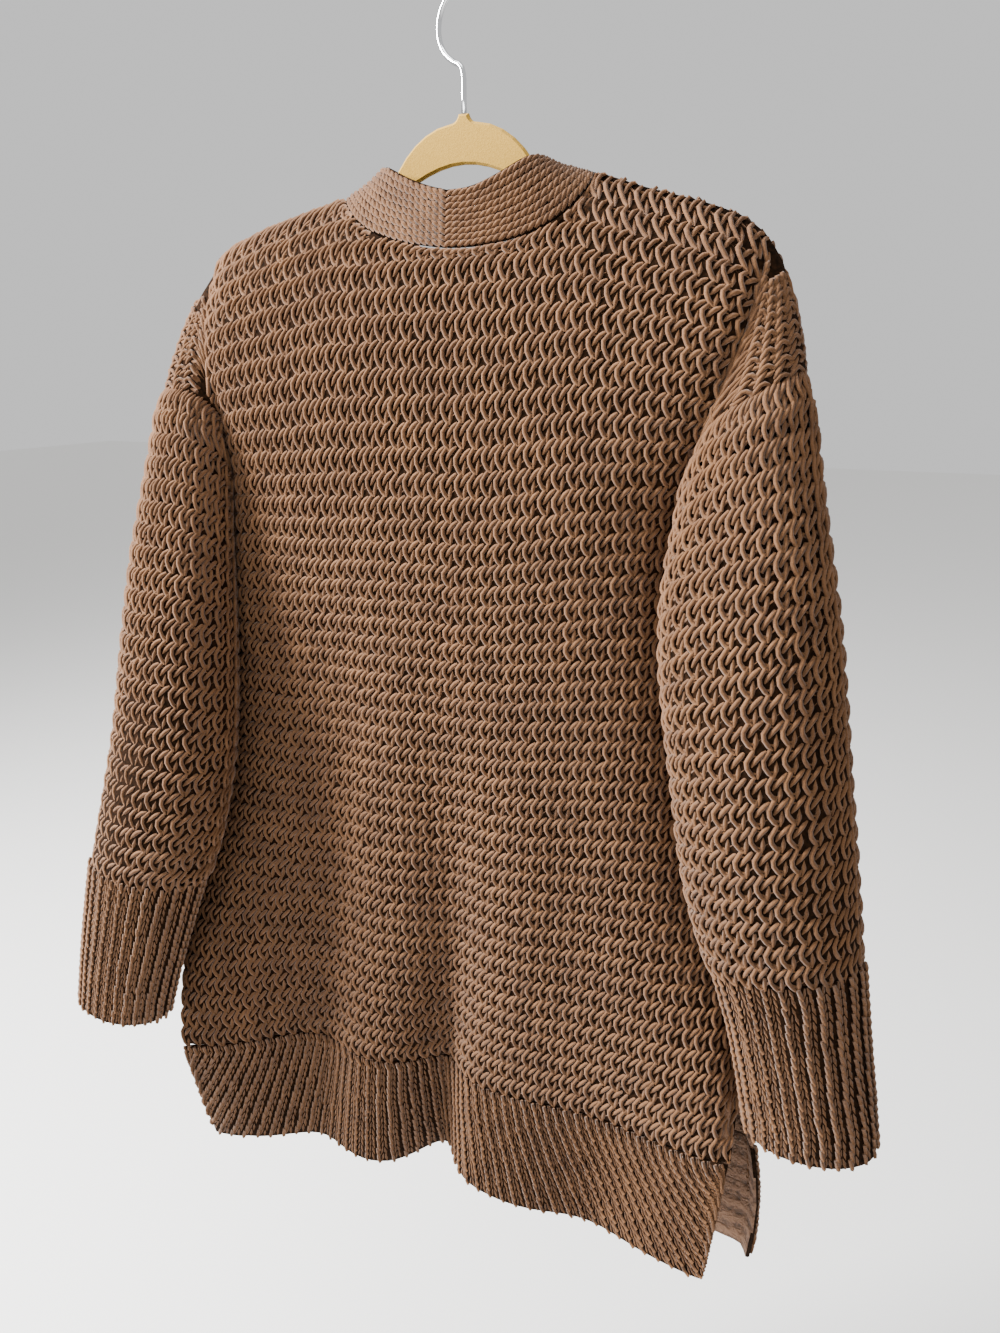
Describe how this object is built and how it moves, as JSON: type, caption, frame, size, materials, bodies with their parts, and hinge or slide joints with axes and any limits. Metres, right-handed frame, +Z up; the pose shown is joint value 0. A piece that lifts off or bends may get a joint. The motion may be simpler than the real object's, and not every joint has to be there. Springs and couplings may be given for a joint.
{
  "type": "open-front cardigan on a clothes hanger",
  "caption": "Oversized open-front cardigan in chunky textured knit with dropped shoulders, rib band, cuffs and side-slit hem, hanging on a slim hanger.",
  "frame": {"origin": "inner top of the hanger's hook, where it rests on a rod", "axes": "+Z up, +X towards the wearer's left along the hanger, the open front faces -Y and the back faces +Y"},
  "size_m": [0.6831, 0.1982, 0.9472],
  "materials": {
    "body_knit": "matt chunky chenille-like cotton knit, warm brown",
    "rib_knit": "matt rib knit in the same yarn",
    "hanger_velvet": "short velvet flock, pale yellow",
    "hook_chrome": "polished"
  },
  "bodies": {
    "root": {"back": "body_knit", "front_right": "body_knit", "front_left": "body_knit", "sleeve_right": "body_knit", "sleeve_left": "body_knit", "back_hem_rib": "rib_knit", "front_right_hem_rib": "rib_knit", "front_left_hem_rib": "rib_knit", "cuff_right": "rib_knit", "cuff_left": "rib_knit", "band_right": "rib_knit", "band_left": "rib_knit", "hanger_body": "hanger_velvet", "hanger_hook": "hook_chrome"}
  },
  "joints": []
}
